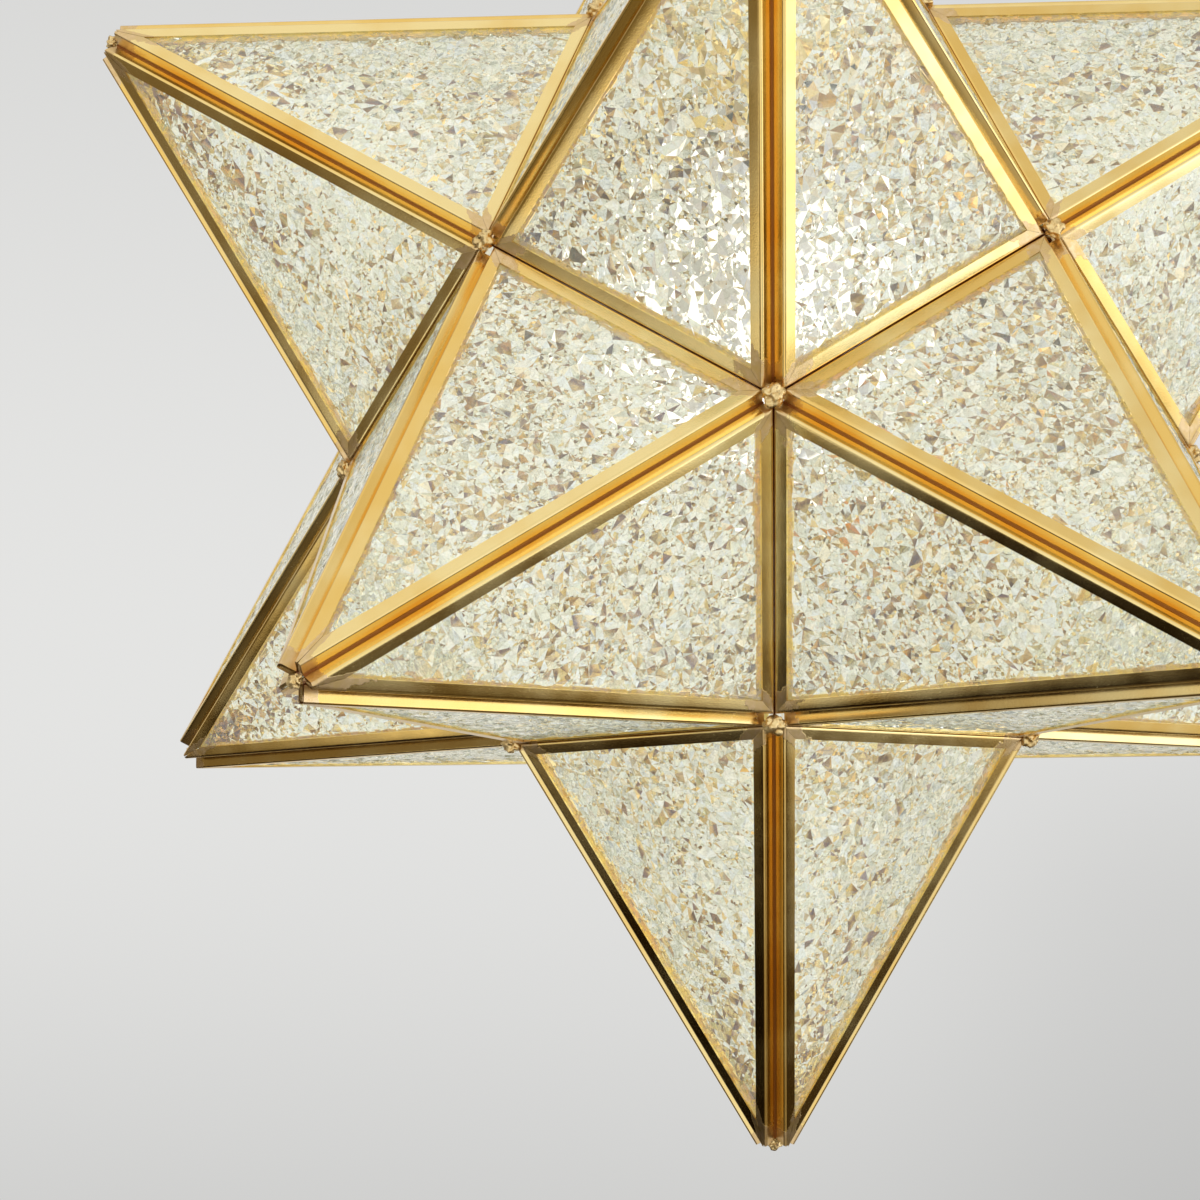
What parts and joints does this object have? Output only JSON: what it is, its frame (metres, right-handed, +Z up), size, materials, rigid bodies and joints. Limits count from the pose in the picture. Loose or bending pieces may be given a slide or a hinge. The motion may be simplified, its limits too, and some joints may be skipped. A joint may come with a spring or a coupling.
{
  "type": "moravian star pendant",
  "caption": "Hanging star lantern of glass points edged in brass came, with a hanging loop, a hinged access point and a screw lamp inside.",
  "frame": {"origin": "centre of the hanging loop's eye", "axes": "+Z up, -Y towards the front; the bottom point hangs straight down along -Z and the loop's eye opens along Y"},
  "size_m": [0.3286, 0.3438, 0.3924],
  "materials": {
    "brass_came": "polished",
    "textured_glass": "seeded and rippled, clear with a warm green cast",
    "solder": "brass-coloured solder, uneven",
    "brass_fitting": "polished",
    "steel": "plated",
    "bushing_plastic": "moulded",
    "insulating_sleeve": "pressed board",
    "socket_metal": "stamped",
    "socket_ceramic": "glazed, moulded",
    "lamp_glass": "clear",
    "lamp_metal": "stamped",
    "lamp_insulation": "glassy",
    "lamp_rods": "coated"
  },
  "bodies": {
    "star": {"came_bottom": "brass_came", "came_lower_1": "brass_came", "came_lower_2": "brass_came", "came_lower_3": "brass_came", "came_lower_4": "brass_came", "came_lower_5": "brass_came", "came_top": "brass_came", "came_upper_1": "brass_came", "came_upper_2": "brass_came", "came_upper_4": "brass_came", "came_upper_5": "brass_came", "centre_contact": "socket_metal", "clamp_plate": "brass_fitting", "cord_bushing": "bushing_plastic", "fixed_hinge_leaf": "brass_fitting", "glass_bottom": "textured_glass", "glass_lower_1": "textured_glass", "glass_lower_2": "textured_glass", "glass_lower_3": "textured_glass", "glass_lower_4": "textured_glass", "glass_lower_5": "textured_glass", "glass_top": "textured_glass", "glass_upper_1": "textured_glass", "glass_upper_2": "textured_glass", "glass_upper_4": "textured_glass", "glass_upper_5": "textured_glass", "hanging_loop": "brass_fitting", "hinge_pin": "steel", "nipple": "brass_fitting", "nipple_nuts": "brass_fitting", "screw_shell": "socket_metal", "socket_base": "socket_ceramic", "socket_cap": "brass_fitting", "socket_liner": "insulating_sleeve", "socket_set_screw": "steel", "socket_shell": "brass_fitting", "solder_corners": "solder", "solder_tips": "solder", "spring_washer": "steel", "terminal_screws": "steel", "top_cap": "brass_fitting"},
    "access_point": {"came_access": "brass_came", "glass_access": "textured_glass", "access_solder_tip": "solder", "access_hinge_leaf": "brass_fitting", "access_lifting_tab": "brass_fitting"},
    "lamp": {"lamp_envelope": "lamp_glass", "lamp_cap": "lamp_metal", "lamp_insulator": "lamp_insulation", "lamp_contact": "lamp_metal", "lamp_stem": "lamp_glass", "lamp_filaments": "lamp_rods"}
  },
  "joints": [
    {"name": "access_hinge", "type": "hinge", "parent": "star", "child": "access_point", "pos_m": [0.03331, 0.04585, -0.09616], "axis": [0.809, -0.5878, 0], "range_deg": [0, 105]},
    {"name": "lamp_unscrew", "type": "slide", "parent": "star", "child": "lamp", "axis": [0, 0, -1], "range_m": [0, 0.024]}
  ]
}
